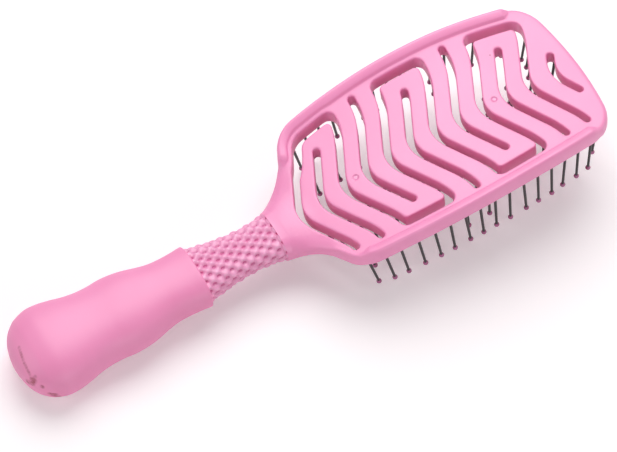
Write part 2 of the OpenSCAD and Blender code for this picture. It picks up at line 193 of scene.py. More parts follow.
def mottled(tree, where, size, detail, low, high):
    """Noise with its crests size millimetres apart, and the colour that goes with it between two tones."""
    noise = node(tree, "ShaderNodeTexNoise", (-1150, 300), {"Vector": where},
                 Scale=MM_PER_METRE / size, Detail=detail)
    ramp = node(tree, "ShaderNodeValToRGB", (-900, 300), {"Fac": noise.outputs["Fac"]})
    for stop, (level, tone) in zip(ramp.color_ramp.elements, (low, high)):
        stop.position = level
        stop.color = linear(tone)
    return noise, ramp.outputs["Color"]


def moulded_plastic(name, colour, shade, roughness, grain, bump, marks):
    """Moulded plastic: an even colour with a slow drift, a fine skin and small marks of its own."""
    material, tree = new_material(name)
    where = node(tree, "ShaderNodeTexCoord", (-1400, 0)).outputs["Object"]
    colour_out = mottled(tree, where, COLOUR_DRIFT, 3.0, (0.35, shade), (0.65, colour))[1]
    skin = node(tree, "ShaderNodeTexNoise", (-1150, -100), {"Vector": where},
                Scale=MM_PER_METRE / grain, Detail=2.0)
    # orange peel of the cooled surface
    peel = node(tree, "ShaderNodeTexNoise", (-1150, -400), {"Vector": where},
                Scale=MM_PER_METRE / ORANGE_PEEL, Detail=1.0)
    rough = node(tree, "ShaderNodeMapRange", (-900, -100), {"Value": skin.outputs["Fac"]},
                 i3=roughness - 0.05, i4=roughness + 0.06)
    colour_out, rough_out, height = marks(tree, where, colour_out, rough.outputs["Result"])
    small = node(tree, "ShaderNodeBump", (-650, -250), {"Height": skin.outputs["Fac"]},
                 Strength=bump, Distance=0.00008)
    big = node(tree, "ShaderNodeBump", (-450, -350),
               {"Height": peel.outputs["Fac"], "Normal": small.outputs["Normal"]},
               Strength=0.25, Distance=0.00025)
    if height:
        big = node(tree, "ShaderNodeBump", (-280, -420),
                   {"Height": height, "Normal": big.outputs["Normal"]},
                   Strength=1.0, Distance=0.0004, invert=True)
    shader = node(tree, "ShaderNodeBsdfPrincipled", (-100, 0),
                  {"Base Color": colour_out, "Roughness": rough_out, "Normal": big.outputs["Normal"]},
                  IOR=1.54, Specular_IOR_Level=0.9, Subsurface_Weight=0.06,
                  Subsurface_Radius=(1.0, 0.35, 0.5), Subsurface_Scale=0.0012)
    node(tree, "ShaderNodeOutputMaterial", (200, 0), {"Surface": shader.outputs["BSDF"]})
    return material


def spot(tree, where, centre, radius, soft, strength, at):
    """Full strength inside a ball round a place, easing to nothing over soft; lengths in millimetres."""
    away = node(tree, "ShaderNodeVectorMath", at, {0: where}, operation="DISTANCE",
                i1=tuple(centre))
    return node(tree, "ShaderNodeMapRange", (at[0] + 180, at[1]), {"Value": away.outputs["Value"]},
                interpolation_type="SMOOTHSTEP", i1=(radius + soft) / 1000, i2=radius / 1000,
                i4=strength).outputs["Result"]


def largest(tree, values, at):
    """The largest of several values."""
    top = values[0]
    for i, value in enumerate(values[1:]):
        top = node(tree, "ShaderNodeMath", (at[0] + 30 * i, at[1]), {0: top, 1: value},
                   operation="MAXIMUM").outputs["Value"]
    return top


def stained(tree, mask, colour, rough, stain):
    """Colour and roughness of a soiled place."""
    mixed = node(tree, "ShaderNodeMix", (-420, 500), {0: mask, 6: colour}, data_type="RGBA",
                 blend_type="MULTIPLY", i7=linear(stain))
    duller = node(tree, "ShaderNodeMath", (-420, 200), {0: mask, 2: rough},
                  operation="MULTIPLY_ADD", i1=0.15)
    return mixed.outputs[2], duller.outputs["Value"]


# Places of the two gate marks along the middle of the head, and of a speck, in millimetres
GATES = (-30.75, 29.98)
SPECK = (39.1, 17.8, -1.56)


def gate_marks(tree, where, colour, rough):
    """Two round sunk marks where the plastic entered the mould, and one speck in the panel."""
    sunk = []
    glossy = []
    for i, x in enumerate(GATES):
        fall = x * x / (2 * BACK_RADIUS)
        sunk.append(spot(tree, where, lie_down((x, 0.1, -fall)), radius=0.55, soft=0.95,
                         strength=1.0, at=(-1150, 900 + 160 * i)))
        # the broken-off gate is left glossy in the middle of the mark
        glossy.append(spot(tree, where, lie_down((x + 0.2, -0.2, -fall)), radius=0.3, soft=0.3,
                           strength=0.28, at=(-1150, 1500 + 160 * i)))
    speck = spot(tree, where, lie_down(SPECK), radius=0.15, soft=0.25, strength=0.8, at=(-1150, 1300))
    colour, rough = stained(tree, speck, colour, rough, "#80505F")
    smoother = node(tree, "ShaderNodeMath", (-420, 50), {0: rough, 1: largest(tree, glossy, (-700, 1500))},
                    operation="SUBTRACT", use_clamp=True)
    return colour, smoother.outputs["Value"], largest(tree, sunk, (-700, 1000))


# Rub marks on the end of the bulb: along the handle, across, up, radius and soft edge in millimetres,
# and strength
SCUFFS = [(107.3, -10.1, 4.4, 0.9, 1.3, 1.0), (108.0, -9.9, 2.6, 0.8, 1.2, 0.9),
          (108.8, -8.4, 1.8, 0.6, 1.2, 0.8), (106.2, -10.2, 6.0, 0.2, 0.9, 0.5),
          (105.4, -13.4, 3.0, 0.4, 0.9, 0.85), (103.9, -15.6, -0.7, 0.5, 1.0, 0.8),
          (102.7, -16.3, -1.4, 0.8, 1.3, 1.0), (101.3, -16.1, -3.6, 0.7, 1.2, 0.8)]
# Middle line of the thin scratch that runs into them
SCRATCH = [(106.2, 2.2, 8.4), (106.9, -1.4, 7.8), (107.3, -3.7, 7.2),
           (107.4, -6.6, 6.3), (107.4, -9.0, 5.2)]
SCRATCH_MARK = (0.25, 0.85, 0.6)


def end_scuffs(tree, where, colour, rough):
    """Brownish rub marks round the end of the bulb, where the brush has been put down."""
    spots = list(SCUFFS)
    for a, b in zip(SCRATCH, SCRATCH[1:]):
        steps = round(math.dist(a, b))
        for i in range(steps):
            spots.append(tuple(Vector(a).lerp(Vector(b), i / steps)) + SCRATCH_MARK)
    marks = [spot(tree, where, along_handle(s, y, h), r, soft, strength, (-1600, 900 + 150 * i))
             for i, (s, y, h, r, soft, strength) in enumerate(spots)]
    noise = node(tree, "ShaderNodeTexNoise", (-1150, 700), {"Vector": where},
                 Scale=MM_PER_METRE / SOIL_GRAIN, Detail=3.0)
    broken = node(tree, "ShaderNodeMapRange", (-950, 700), {"Value": noise.outputs["Fac"]},
                  i1=0.18, i2=0.60)
    mask = node(tree, "ShaderNodeMath", (-600, 800),
                {0: largest(tree, marks, (-1200, 1100)), 1: broken.outputs["Result"]}, operation="MULTIPLY")
    colour, rough = stained(tree, mask.outputs["Value"], colour, rough, "#A8686C")
    return colour, rough, None


def painted_pillow_light_pit_shade(tree, where, colour, rough):
    """The pits are painted darker as painted shade, and the raised pillows keep the pale colour as a
    painted highlight.
    """
    shape = node(tree, "ShaderNodeNewGeometry", (-1150, 700))
    raised = node(tree, "ShaderNodeMapRange", (-900, 700), {"Value": shape.outputs["Pointiness"]},
                  interpolation_type="SMOOTHSTEP", i1=0.46, i2=0.54)
    # painted shade in the pits, where pointiness is low; the raised pillows keep the pale tone as a painted
    # highlight
    tone = node(tree, "ShaderNodeMix", (-420, 500), {0: raised.outputs["Result"], 7: colour},
                data_type="RGBA", blend_type="MIX", i6=linear("#CC5692"))
    return tone.outputs[2], rough, None


# ABS, injection moulded and satin: soft highlights, even colour, slightly see-through at thin edges
SHELL = moulded_plastic("moulded_abs_pink", "#F28FC0", "#EE88BA",
                        roughness=0.42, grain=0.35, bump=0.25, marks=gate_marks)
# thermoplastic rubber, moulded: a fine dry skin, its pale colour a painted highlight on the pillows and a
# darker painted shade in the pits
BAND_RUBBER = moulded_plastic("thermoplastic_rubber_band", "#FBB4D9", "#F7ABD2",
                              roughness=0.42, grain=0.30, bump=0.30, marks=painted_pillow_light_pit_shade)
# soft-touch coat over the grip: velvety, broad highlights
SOFT_COAT = moulded_plastic("soft_touch_coat_pink", "#EE8ABA", "#EA84B4",
                            roughness=0.50, grain=0.25, bump=0.30, marks=end_scuffs)


def smooth_plastic(name, grain, low, high, roughness, bump, **settings):
    """Glossy plastic in two close tones, with a fine unevenness; settings go to the shader."""
    material, tree = new_material(name)
    where = node(tree, "ShaderNodeTexCoord", (-1400, 0)).outputs["Object"]
    noise, colour = mottled(tree, where, grain, 2.0, low, high)
    rough = node(tree, "ShaderNodeMapRange", (-500, 0), {"Value": noise.outputs["Fac"]},
                 i3=roughness[0], i4=roughness[1])
    strength, height = bump
    uneven = node(tree, "ShaderNodeBump", (-300, -200), {"Height": noise.outputs["Fac"]},
                  Strength=strength, Distance=height)
    shader = node(tree, "ShaderNodeBsdfPrincipled", (-100, 0),
                  {"Base Color": colour, "Roughness": rough.outputs["Result"],
                   "Normal": uneven.outputs["Normal"]}, **settings)
    node(tree, "ShaderNodeOutputMaterial", (200, 0), {"Surface": shader.outputs["BSDF"]})
    return material


# nylon 6, extruded black monofilament: smooth, with a narrow highlight along each pin
NYLON = smooth_plastic("extruded_nylon_black", NYLON_GRAIN, (0.0, "#0E0B0D"), (1.0, "#1B1619"),
                       roughness=(0.26, 0.42), bump=(0.2, 0.00004), IOR=1.53)
# vinyl, dipped: glossy mauve tips with slight pooling of the colour
VINYL = smooth_plastic("dipped_vinyl_mauve", VINYL_GRAIN, (0.3, "#A8587F"), (0.7, "#C070A0"),
                       roughness=(0.22, 0.36), bump=(0.15, 0.00005), IOR=1.5, Subsurface_Weight=0.1,
                       Subsurface_Radius=(1.0, 0.3, 0.5), Subsurface_Scale=0.0006)


# Making a piece
def finish_piece(name, bm, material, nodes, sharp):
    """Makes one smooth-shaded piece of a bmesh; edges turned by more than sharp degrees stay crisp."""
    bmesh.ops.remove_doubles(bm, verts=bm.verts, dist=1e-6)
    bmesh.ops.recalc_face_normals(bm, faces=bm.faces)
    mesh = bpy.data.meshes.new(name)
    bm.to_mesh(mesh)
    bm.free()
    mesh.shade_smooth()
    mesh.set_sharp_from_angle(angle=math.radians(sharp))
    mesh.materials.append(material)
    piece = bpy.data.objects.new(name, mesh)
    bpy.context.scene.collection.objects.link(piece)
    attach(piece, "root")
    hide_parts(*nodes)
    return piece


# Plan of the head
def circle_meet(a, ra, b, rb):
    """The place on the +Y side where two circles cross."""
    d = (b - a).length
    u = (b - a) / d
    m = (d * d + ra * ra - rb * rb) / (2 * d)
    across = Vector((-u.y, u.x)) * math.sqrt(ra * ra - m * m)
    p = a + u * m + across
    q = a + u * m - across
    return p if p.y > q.y else q


SIDE_C = Vector((WIDEST, HALF_WIDTH - SIDE_R))
TIP_C = Vector((TIP - TIP_R, 0))
CORNER_C = circle_meet(SIDE_C, SIDE_R - CORNER_R, TIP_C, TIP_R - CORNER_R)
SHOULDER_RISE = math.sqrt((SIDE_R - SHOULDER_R) ** 2 - (SHOULDER + SIDE_C.x) ** 2)
SHOULDER_C = Vector((-SHOULDER, SIDE_C.y + SHOULDER_RISE))
NECK_RISE = math.sqrt((SHOULDER_R + NECK_CURVE_R) ** 2 - (NECK_CURVE - SHOULDER) ** 2)
NECK_C = Vector((-NECK_CURVE, SHOULDER_C.y + NECK_RISE))


def heading(v):
    return math.atan2(v.y, v.x)


def edge_and_outward():
    """Points of the outline on the +Y side from the tip to the neck, each with its outward direction."""
    tip_end = heading(CORNER_C - TIP_C)
    corner_end = heading(CORNER_C - SIDE_C)
    side_end = heading(SHOULDER_C - SIDE_C)
    shoulder_end = heading(NECK_C - SHOULDER_C)
    neck_end = math.asin((NECK_CURVE - NECK - SEAM) / NECK_CURVE_R) - math.pi / 2
    # centre, radius, first and last direction from the centre, and -1 where the outline is hollow
    runs = [
        (TIP_C, TIP_R, 0, tip_end, 1),
        (CORNER_C, CORNER_R, tip_end, corner_end, 1),
        (SIDE_C, SIDE_R, corner_end, side_end, 1),
        (SHOULDER_C, SHOULDER_R, side_end, shoulder_end, 1),
        (NECK_C, NECK_CURVE_R, heading(SHOULDER_C - NECK_C), neck_end, -1),
    ]
    spacing = 1.3
    made = []
    for centre, r, a, b, way in runs:
        steps = max(4, round(abs(b - a) * r / spacing))
        for i in range(steps if way > 0 else steps + 1):
            t = a + (b - a) * i / steps
            d = Vector((math.cos(t), math.sin(t)))
            made.append((centre + d * r, d * way))
    return made


def edge_y(x, inset):
    """Half width of the head at a place along it, drawn in from the edge."""
    def meets(other, c, r):
        return c.x + r * (c.x - other.x) / (c - other).length

    if x > meets(SIDE_C, CORNER_C, CORNER_R - inset):
        return CORNER_C.y + math.sqrt(max((CORNER_R - inset) ** 2 - (x - CORNER_C.x) ** 2, 0))
    if x < meets(NECK_C, SHOULDER_C, inset - SHOULDER_R):
        return NECK_C.y - math.sqrt((NECK_CURVE_R + inset) ** 2 - (x - NECK_C.x) ** 2)
    if x < meets(SIDE_C, SHOULDER_C, SHOULDER_R - inset):
        return SHOULDER_C.y + math.sqrt((SHOULDER_R - inset) ** 2 - (x - SHOULDER_C.x) ** 2)
    return SIDE_C.y + math.sqrt((SIDE_R - inset) ** 2 - (x - SIDE_C.x) ** 2)


def rail_width(x, y):
    """Width of the rail with its foot; it narrows at the tip and where the first slot nears the edge."""
    tip_loss = 2.3
    near_loss = 3.0
    far_loss = 0.45
    at_tip = tip_loss * ease((x - 54) / 5)
    if y < 0:
        beside_slot = near_loss * ease((x + 56) / 4) * ease((-43.5 - x) / 5)
    else:
        beside_slot = far_loss * ease((15 - abs(x + 38)) / 5)
    return RAIL_WIDTH - max(beside_slot, at_tip)


def chevron(k, y):
    """A point of the middle line of slot k, counted from the neck."""
    d = abs(y - POINT_Y)
    if d < POINT_HALF:
        back = ARM_SLOPE * d * d / (2 * POINT_HALF)
    else:
        bend = max(min(d, BEND_END) - ARM_END, 0)
        back = ARM_SLOPE * (min(d, BEND_END) - POINT_HALF / 2)
        back -= (ARM_SLOPE - END_SLOPE) * bend**2 / (2 * (BEND_END - ARM_END))
        back += END_SLOPE * max(d - BEND_END, 0)
    start = FIRST_SLOT + SLOT_STEP * k + STEP_GROWTH * k * (k - 1)
    if k == LAST_SLOT:
        start += LAST_SHIFT
    return Vector((start + back, y))


def slot_line(k, low, high, step=0.5):
    """Middle line of slot k from one place across the head to another."""
    n = max(2, round((high - low) / step))
    return [chevron(k, low + (high - low) * i / n) for i in range(n + 1)]


def evenly(path, step):
    """The same line with points a step apart."""
    lengths = [0.0]
    for a, b in zip(path, path[1:]):
        lengths.append(lengths[-1] + (b - a).length)
    n = max(2, round(lengths[-1] / step))
    made = []
    j = 0
    for i in range(n + 1):
        along = lengths[-1] * i / n
        while j < len(path) - 2 and lengths[j + 1] < along:
            j += 1
        t = (along - lengths[j]) / max(lengths[j + 1] - lengths[j], 1e-9)
        made.append(path[j].lerp(path[j + 1], min(max(t, 0), 1)))
    return made


def around(path, grow):
    """Closed loop round the middle line of a slot, grow beyond its walls, with round ends."""
    n = len(path) - 1
    end_steps = 10
    turn = [heading(path[min(i + 1, n)] - path[max(i - 1, 0)]) for i in range(n + 1)]

    def beside(i, angle):
        return path[i] + Vector((math.cos(angle), math.sin(angle))) * (SLOT / 2 + grow)

    def round_end(i, angle):
        return [beside(i, angle - math.pi * k / end_steps) for k in range(1, end_steps)]

    left = [beside(i, turn[i] + math.pi / 2) for i in range(n + 1)]
    right = [beside(i, turn[i] - math.pi / 2) for i in range(n, -1, -1)]
    return left + round_end(n, turn[n] + math.pi / 2) + right + round_end(0, turn[0] - math.pi / 2)


def nearest_share(a, b, p):
    """How far along the step from a to b the place nearest to p is, from 0 to 1."""
    return min(max((p - a).dot(b - a) / max((b - a).length_squared, 1e-12), 0), 1)


def nearest(path, p):
    """The step of an open line that is nearest to a point, and the place there."""
    best = None
    for i, (a, b) in enumerate(zip(path, path[1:])):
        place = a.lerp(b, nearest_share(a, b, p))
        if best is None or (place - p).length < best[0]:
            best = ((place - p).length, i, place)
    return best[1:]


def joined(first, second, r):
    """Joins two lines that meet in a corner; an arc of radius r rounds it unless it is nearly straight."""
    corner = first[-1]
    a = next((p for p in reversed(first) if (p - corner).length > 1.5 * r), first[0])
    b = next((p for p in second if (p - corner).length > 1.5 * r), second[-1])
    a = (a - corner).normalized()
    b = (b - corner).normalized()
    nearly_straight = -0.9
    if a.dot(b) < nearly_straight:
        return first + second[1:]
    # the centre of the arc settles at r from both lines
    centre = corner + (a + b).normalized() * r * 1.4
    rounds = 80
    for _ in range(rounds):
        for line in (first, second):
            place = nearest(line, centre)[1]
            centre = place + (centre - place).normalized() * r
    i, start = nearest(first, centre)
    j, end = nearest(second, centre)
    turn = (start - centre).angle_signed(end - centre)
    steps = 8
    arc = [centre + (Matrix.Rotation(-turn * k / steps, 2) @ (start - centre)) for k in range(steps + 1)]
    return first[:i + 1] + arc + second[j + 1:]


def row_edge(k, side, low, high, blind):
    """One edge of slot k, upwards, from an inset from the near edge to an inset from the far edge."""
    made = []
    for tenth in range(-340, 341):
        y = tenth / 10
        middle = chevron(k, y)
        d = (chevron(k, y + 0.1) - chevron(k, y - 0.1)).normalized()
        p = middle + Vector((d.y, -d.x)) * side * SLOT / 2
        # a blind end is square to the slot, so both of its edges end where the middle line does
        start = middle if blind else p
        if -edge_y(start.x, low) <= start.y and p.y <= edge_y(p.x, high):
            made.append(p)
    return made


def cross_edge(start, end, inset):
    """One edge of the opening across the free end of a finger, along the outline of the head."""
    steps = 30
    side = math.copysign(1, start.y)
    made = [start]
    for i in range(1, steps):
        x = start.x + (end.x - start.x) * i / steps
        made.append(Vector((x, side * edge_y(x, inset))))
    return made + [end]


def winding_side(left):
    """One side of the long winding slot, from its first near end to its last."""
    inner = GAP_INSET + GAP
    outer_radius = 3.3
    inner_radius = 1.7
    line = None
    rows = 6
    for i in range(rows):
        up = i % 2 == 0
        outer_far = FIRST_GAP_INSET if i < 2 else GAP_INSET
        # the left side runs round the outside of the far openings and the inside of the near ones
        far = outer_far if left else inner
        near = inner if left else GAP_INSET
        if i == 0:
            near = FIRST_END_INSET + SLOT / 2
        if i == rows - 1:
            near = LAST_END_INSET + SLOT / 2
        row = row_edge(2 * i, -1 if left == up else 1, near, far, i in (0, rows - 1))
        if not up:
            row.reverse()
        if line is None:
            line = row
            continue
        opening = cross_edge(line[-1], row[0], near if up else far)
        r = outer_radius if left != up else inner_radius
        line = joined(joined(line, opening, r), row, r)
    return line


def winding():
    """Closed edge of the long winding slot, with round ends."""
    left = winding_side(True)
    right = winding_side(False)
    end_steps = 10

    def round_end(a, b):
        middle = (a + b) / 2
        arm = (a - b) / 2
        return [middle + Matrix.Rotation(-math.pi * k / end_steps, 2) @ arm for k in range(1, end_steps)]

    loop = left + round_end(left[-1], right[-1]) + right[::-1] + round_end(right[0], left[0])
    return evenly(loop + loop[:1], 0.7)[:-1]


def grown(loop, by):
    """The same closed line moved outwards."""
    area = sum(a.x * b.y - b.x * a.y for a, b in zip(loop, loop[1:] + loop[:1]))
    made = []
    for i, p in enumerate(loop):
        d = (loop[(i + 1) % len(loop)] - loop[i - 1]).normalized()
        made.append(p + Vector((d.y, -d.x)) * math.copysign(by, area))
    return made


def closed_slot(k, low, high):
    """Edge of the top and edge of the wall of a slot that stands alone."""
    path = evenly(slot_line(k, low, high), 0.8)
    return around(path, FILLET), around(path, 0)


def openings():
    """Every opening of the panel: the edge of its top and the edge of its wall."""
    wall = winding()
    made = [(grown(wall, FILLET), wall)]
    for k in (1, 3, 5, 7, 9):
        opens_far = k % 4 == 1
        x = chevron(k, BEND_END).x
        short = edge_y(x, GAP_INSET) - GAP - (NEAR_BAR if opens_far else BAR) - SLOT / 2
        long = edge_y(x, CLOSED_INSET) - SLOT / 2
        made.append(closed_slot(k, -long, short) if opens_far else closed_slot(k, -short, long))
    made.append(closed_slot(LAST_SLOT, LAST_MIDDLE - LAST_HALF, LAST_MIDDLE + LAST_HALF))
    return made


# The head
def neck_share(x):
    """0 in the panel, 1 at the end of the neck."""
    panel_end = 50
    return ease((-x - panel_end) / (NECK - panel_end))


def thickness(x):
    return PANEL + (NECK_THICKNESS - PANEL) * neck_share(x)


def past_line(x, y, through, slant):
    """How far a place is beyond a slanting line through a given one, on either side of the head."""
    return (x - through[0]) * slant[0] + (abs(y) - through[1]) * slant[1]


def rail_share(x, y):
    """1 along the rails, less beside the first slot's near end, easing to 0 at their ends."""
    if x > 0:
        return ease(past_line(x, y, RAIL_TIP_END, TIP_SLANT) / TIP_FADE)
    run_on = NEAR_RUN_ON if y < 0 else FAR_RUN_ON
    share = ease((past_line(x, y, RAIL_NECK_END, NECK_SLANT) + run_on) / NECK_FADE)
    if y < 0:
        share *= 1 - 0.5 * ease((-41 - x) / 5)
    return share


# Half section of the rail: share of its width from the foot outwards, and height above the panel
RAIL = [(0.0, 0.0), (0.05, 0.05), (0.095, 0.20), (0.13, 0.48), (0.16, 0.80), (0.20, 1.06), (0.26, 1.24),
        (0.35, 1.40), (0.45, 1.54), (0.55, 1.66), (0.65, 1.75), (0.74, 1.77), (0.82, 1.62), (0.89, 1.22),
        (0.94, 0.62), (0.975, -0.2), (0.995, -1.4), (1.0, -3.0), (0.99, -4.6), (0.95, -5.7), (0.87, -6.45),
        (0.72, -6.88), (0.50, -PANEL), (0.25, -PANEL), (0.0, -PANEL)]


def plain_edge(i, square):
    """Point i of a plain rounded edge, as shares of width and thickness."""
    a = math.pi / 2 - math.pi * i / (len(RAIL) - 1)
    out, up = superellipse(a, 1, 1, square)
    return abs(out), (up - 1) / 2


def rim_section(x, y):
    """Section of the head's outer edge: the rail, or a plain edge where it has faded out."""
    rail = rail_share(x, y)
    thick = thickness(x)
    square = 3.6 - 1.2 * neck_share(x)
    made = []
    for i, (out, high) in enumerate(RAIL):
        edge_out, edge_high = plain_edge(i, square)
        made.append((out * rail + edge_out * (1 - rail), high * rail + edge_high * thick * (1 - rail)))
    made[-1] = (0.0, -thick)
    return made


def slot_section(x, y):
    """Rounded top edge, wall, and rounded bottom edge of an opening."""
    thick = thickness(x)
    turns = [math.radians(a) for a in (22.5, 45, 67.5, 90)]
    top = [(math.sin(a), -FILLET * (1 - math.cos(a))) for a in turns]
    bottom = [(math.cos(a), -thick + FILLET * (1 - math.sin(a))) for a in turns]
    return [(0.0, 0.0)] + top + [(1.0, -thick / 2), (1.0, -thick + FILLET)] + bottom


def loop_finder(loop):
    """Makes a function that finds the place of a closed line nearest to a point.

    It gives the distance, the points before and after that place, and its share of the way between.
    """
    tree = KDTree(len(loop))
    for i, p in enumerate(loop):
        tree.insert((p.x, p.y, 0), i)
    tree.balance()

    def find(p):
        j = tree.find((p.x, p.y, 0))[1]
        found = []
        for a, b in ((j - 1, j), (j, (j + 1) % len(loop))):
            share = nearest_share(loop[a], loop[b], p)
            place = loop[a] + (loop[b] - loop[a]) * share
            found.append(((place - p).length, a, b, share))
        return min(found, key=lambda place: place[0])

    return find


def new_verts(made):
    return [g for g in made if isinstance(g, bmesh.types.BMVert)]


def roll_edge(bm, edges, find, wall, section):
    """Extrudes a boundary loop through a section, towards the matching loop of its wall."""
    home = {}
    for v in {v for e in edges for v in e.verts}:
        place = v.co.xy
        _, a, b, share = find(place)
        home[v] = (place, wall[a].lerp(wall[b], share) - place)
    sections = {v: section(*home[v][0]) for v in home}
    for i in range(1, len(next(iter(sections.values())))):
        made = bmesh.ops.extrude_edge_only(bm, edges=edges)["geom"]
        next_home = {}
        next_sections = {}
        for v in new_verts(made):
            old = next(e.other_vert(v) for e in v.link_edges if e.other_vert(v) in home)
            place, out = home[old]
            share, high = sections[old][i]
            v.co = (place.x + out.x * share, place.y + out.y * share, high)
            next_home[v] = home[old]
            next_sections[v] = sections[old]
        home = next_home
        sections = next_sections
        edges = [e for e in made if isinstance(e, bmesh.types.BMEdge) and all(v in home for v in e.verts)]


def dish(y):
    """Rise of the hollow back from its middle line towards the rails."""
    return DISH_RADIUS - math.sqrt(DISH_RADIUS**2 - y * y)


def dome(y):
    """How far the neck falls away beside its middle line; it levels out beyond the width of the handle."""
    handle_half = 11
    roundness = 0.018
    last_fall = 1.02
    beyond = abs(y) - handle_half
    if beyond < 0:
        return roundness * y * y
    # the slope carries on from the round part and dies out
    return roundness * handle_half**2 + last_fall * (1 - math.exp(-0.388 * beyond))


def on_back(x, y, h):
    """Arched and hollowed surface of the panel, h above it; it runs out flat and domed into the neck."""
    if x < -NECK:  # straight on along the handle
        beyond = -NECK - x
        along = Vector((-beyond * math.cos(HANDLE_ANGLE), 0, beyond * math.sin(HANDLE_ANGLE)))
        return on_back(-NECK, y, h) + along
    n = neck_share(x)
    # the hollow grows shallower over the last 46 mm, to 0.55 of its depth at the tip
    hollow = dish(y) * (1 - n) * (1 - 0.45 * ease((x - 20) / 46))
    z = math.sqrt((BACK_RADIUS + hollow + h) ** 2 - x * x) - BACK_RADIUS
    # the dome is on both faces of the neck: down on the top one, up on the bottom one
    share = -h / thickness(x)
    z += n * (NECK_SWELL + dome(y) * (2 * share - 1))
    return Vector((x + n * (z + NECK_DROP) * math.tan(HANDLE_ANGLE), y, z))


def head_loops():
    """Outline and openings: for each the edge of the flat, the edge of the wall, and the section."""
    half = edge_and_outward()
    edge = half + [(Vector((p.x, -p.y)), Vector((d.x, -d.y))) for p, d in reversed(half[1:])]
    wall = [p for p, _ in edge]
    base = [p - d * rail_width(p.x, p.y) for p, d in edge]
    for i, p in enumerate(wall):
        if p.x < -NECK - SEAM + 0.01:  # the neck's end face stays in its plane
            base[i] = Vector((-NECK - SEAM, p.y - math.copysign(RAIL_WIDTH, p.y)))
    return [(base, wall, rim_section)] + [(outer, inner, slot_section) for outer, inner in openings()]


def flat_top(bm, loops):
    """Fills the plan inside the loops and cuts it every 2 mm, so that it can be arched."""
    edges = []
    for loop in loops:
        verts = [bm.verts.new((p.x, p.y, 0)) for p in loop]
        edges += [bm.edges.new((a, b)) for a, b in zip(verts, verts[1:] + verts[:1])]
    bmesh.ops.triangle_fill(bm, use_beauty=True, edges=edges, normal=(0, 0, 1))
    off_the_points = 0.37
    for axis, reach in ((Vector((1, 0, 0)), 64), (Vector((0, 1, 0)), 34)):
        for cut in range(-reach, reach + 1, 2):
            bmesh.ops.bisect_plane(bm, geom=bm.verts[:] + bm.edges[:] + bm.faces[:], dist=0.02,
                                   plane_co=axis * (cut + off_the_points), plane_no=axis)
    bmesh.ops.remove_doubles(bm, verts=bm.verts, dist=0.03)
    bmesh.ops.dissolve_degenerate(bm, edges=bm.edges, dist=0.01)


def head():
    """The moulded head: two flats joined by a rolled edge round the outline and round every opening."""
    bm = bmesh.new()
    loops = head_loops()
    flat_top(bm, [outer for outer, _, _ in loops])
    under = bmesh.ops.duplicate(bm, geom=bm.verts[:] + bm.edges[:] + bm.faces[:])["geom"]
    below = set(new_verts(under))
    for v in below:
        v.co.z = -thickness(v.co.x)
    rims = [e for e in bm.edges if e.is_boundary and e.verts[0] not in below]
    on_the_loop = 0.06
    for outer, inner, section in loops:
        find = loop_finder(outer)
        mine = [e for e in rims if max(find(v.co.xy)[0] for v in e.verts) < on_the_loop]
        roll_edge(bm, mine, find, inner, section)
    bmesh.ops.remove_doubles(bm, verts=bm.verts, dist=0.004)
    for v in bm.verts:
        v.co = lie_down(on_back(*v.co))
    piece = finish_piece("head_shell", bm, SHELL, ["head_frame"], sharp=50)
    smooth = piece.modifiers.new("even_shading", "WEIGHTED_NORMAL")
    smooth.keep_sharp = True


# The handle, with widths and heights along it as shares of its full ones
BAND_HALF_W = 10.6
BAND_HALF_T = 6.3
BAND_SQUARE = 2.5  # how square the section is: 2 is an ellipse
BAND_ROWS = 200
BAND_ROUND = 312
PILLOW_LENGTH = 2.77
PILLOW_WIDTH = 2.15
BAND_PLACES = [0, 0.12, 0.29, 0.44, 0.58, 0.73, 0.87, 1]
BAND_WIDTHS = [1, 0.93, 0.86, 0.855, 0.885, 0.935, 1.015, 1.09]
BAND_HEIGHTS = [1, 0.98, 0.97, 0.985, 1.02, 1.08, 1.17, 1.26]

GRIP_HALF_W = 18.5
GRIP_HALF_T = 12.085
GRIP_SQUARE = 2.35
GRIP_ROWS = 160
GRIP_ROUND = 120
LIP_SHARE = 0.05  # share of the rows that roll over the lip
LIP_START = 0.95
LIP_END = 1.55
LIP_HEIGHT = 0.8
GRIP_PLACES = [0, 0.025, 0.07, 0.135, 0.2, 0.26, 0.325, 0.385, 0.45, 0.51, 0.575, 0.64, 0.705,
               0.765, 0.83, 0.89, 0.915, 0.952, 0.979, 0.994, 1]
GRIP_WIDTHS = [0.7, 0.705, 0.685, 0.67, 0.678, 0.73, 0.805, 0.848, 0.86, 0.838, 0.84, 0.878,
               0.945, 0.992, 0.995, 0.915, 0.85, 0.7, 0.5, 0.27, 0.1]
GRIP_HEIGHTS = [0.72, 0.725, 0.72, 0.735, 0.76, 0.8, 0.845, 0.875, 0.885, 0.88, 0.885, 0.915,
                0.96, 0.99, 0.99, 0.905, 0.84, 0.68, 0.48, 0.26, 0.1]


def even_angles(half_w, half_t, square, count):
    """Angles that space points evenly round a section."""
    fine = 720
    section = [superellipse(2 * math.pi * i / fine, half_w, half_t, square) for i in range(fine + 1)]
    lengths = [0.0]
    for a, b in zip(section, section[1:]):
        lengths.append(lengths[-1] + math.dist(a, b))
    made = []
    j = 0
    for i in range(count + 1):
        along = lengths[-1] * i / count
        while j < fine - 1 and lengths[j + 1] < along:
            j += 1
        share = (along - lengths[j]) / max(lengths[j + 1] - lengths[j], 1e-9)
        made.append(2 * math.pi * (j + share) / fine)
    return made


def sleeve(rows, around_count, place):
    """A closed tube from a flat grid: place(share along, share round) gives each point."""
    bm = bmesh.new()
    bmesh.ops.create_grid(bm, x_segments=rows, y_segments=around_count, size=0.5)
    for v in bm.verts:
        v.co = place(v.co.x + 0.5, v.co.y + 0.5)
    bmesh.ops.remove_doubles(bm, verts=bm.verts, dist=1e-6)
    ends = [e for e in bm.edges if e.is_boundary]
    bmesh.ops.holes_fill(bm, edges=ends, sides=0)
    return bm


